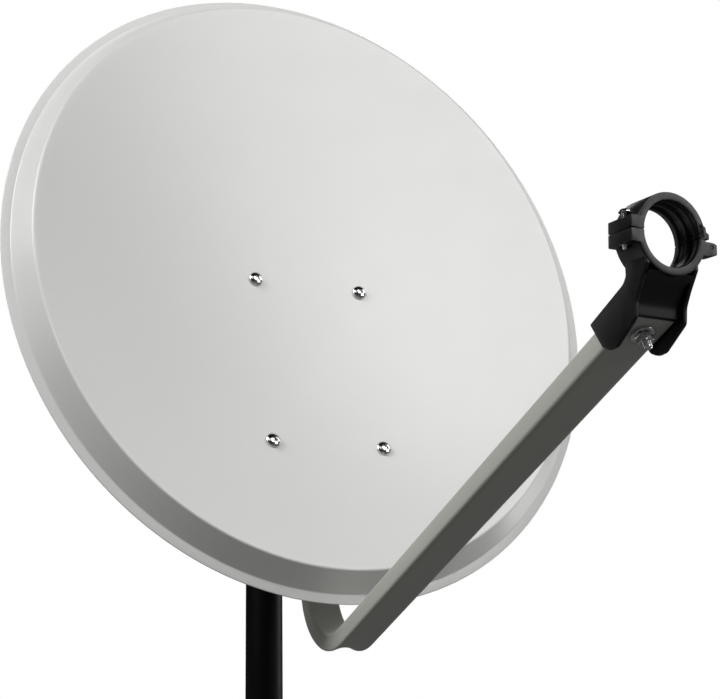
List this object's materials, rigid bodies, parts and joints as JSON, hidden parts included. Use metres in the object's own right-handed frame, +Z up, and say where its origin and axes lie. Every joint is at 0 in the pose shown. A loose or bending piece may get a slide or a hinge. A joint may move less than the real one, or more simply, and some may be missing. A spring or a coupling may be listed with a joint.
{
  "type": "satellite dish",
  "caption": "Offset satellite dish on a short mast: oval reflector, bent feed arm, hinged feed clamp, adjustable bracket.",
  "frame": {"origin": "middle of the mast's foot, at its flat lower end", "axes": "+Z up along the mast, the dish looks along -Y, +X to the right of someone looking along +Y at its face"},
  "size_m": [0.6502, 0.7369, 0.8682],
  "materials": {
    "reflector_paint": "satin light grey powder coat",
    "arm_paint": "satin stone grey powder coat",
    "mast_paint": "satin black paint",
    "holder_plastic": "moulded black plastic",
    "plug_plastic": "moulded black plastic",
    "bracket_zinc": "galvanised sheet steel",
    "fastener_zinc": "bright zinc plate"
  },
  "bodies": {
    "mast": {"mast_tube": "mast_paint", "mast_foot_plug": "plug_plastic", "mast_top_cap": "plug_plastic"},
    "mast_clamp": {"lock_bolt": "fastener_zinc", "lock_nut": "fastener_zinc", "lock_sleeve": "fastener_zinc", "lock_washer_left": "fastener_zinc", "lock_washer_right": "fastener_zinc", "mast_bracket": "bracket_zinc", "pivot_bolt": "fastener_zinc", "pivot_nut": "fastener_zinc", "pivot_sleeve": "fastener_zinc", "pivot_washer_left": "fastener_zinc", "pivot_washer_right": "fastener_zinc", "u_bolt_lower": "fastener_zinc", "u_bolt_upper": "fastener_zinc", "u_nut_lower_left": "fastener_zinc", "u_nut_lower_right": "fastener_zinc", "u_nut_upper_left": "fastener_zinc", "u_nut_upper_right": "fastener_zinc", "u_washer_lower_left": "fastener_zinc", "u_washer_lower_right": "fastener_zinc", "u_washer_upper_left": "fastener_zinc", "u_washer_upper_right": "fastener_zinc"},
    "dish": {"arm_bolt_1": "fastener_zinc", "arm_bolt_2": "fastener_zinc", "arm_end_plug": "plug_plastic", "arm_nut_1": "fastener_zinc", "arm_nut_2": "fastener_zinc", "back_bracket": "bracket_zinc", "clamp_nut": "fastener_zinc", "face_bolt_1": "fastener_zinc", "face_bolt_2": "fastener_zinc", "face_bolt_3": "fastener_zinc", "face_bolt_4": "fastener_zinc", "face_nut_1": "fastener_zinc", "face_nut_2": "fastener_zinc", "face_nut_3": "fastener_zinc", "face_nut_4": "fastener_zinc", "face_washer_1": "fastener_zinc", "face_washer_2": "fastener_zinc", "face_washer_3": "fastener_zinc", "face_washer_4": "fastener_zinc", "feed_arm": "arm_paint", "hinge_pin": "holder_plastic", "holder_bolt": "fastener_zinc", "holder_nut": "fastener_zinc", "holder_washer": "fastener_zinc", "lnb_holder": "holder_plastic", "reflector": "reflector_paint", "rivet_1": "fastener_zinc", "rivet_2": "fastener_zinc", "rivet_3": "fastener_zinc", "rivet_4": "fastener_zinc", "tilt_channel": "bracket_zinc"},
    "feed_cap": {"clamp_cap": "holder_plastic", "clamp_screw": "fastener_zinc"}
  },
  "joints": [
    {"name": "azimuth", "type": "hinge", "parent": "mast", "child": "mast_clamp", "pos_m": [0, 0, 0.406], "axis": [0, 0, 1], "continuous": true},
    {"name": "elevation", "type": "hinge", "parent": "mast_clamp", "child": "dish", "pos_m": [0, -0.103, 0.39], "axis": [-1, 0, 0], "range_deg": [-20, 12]},
    {"name": "feed_cap_hinge", "type": "hinge", "parent": "dish", "child": "feed_cap", "pos_m": [0.031, -0.70507, 0.34782], "axis": [0, 0.9937, 0.112], "range_deg": [0, 100]}
  ]
}
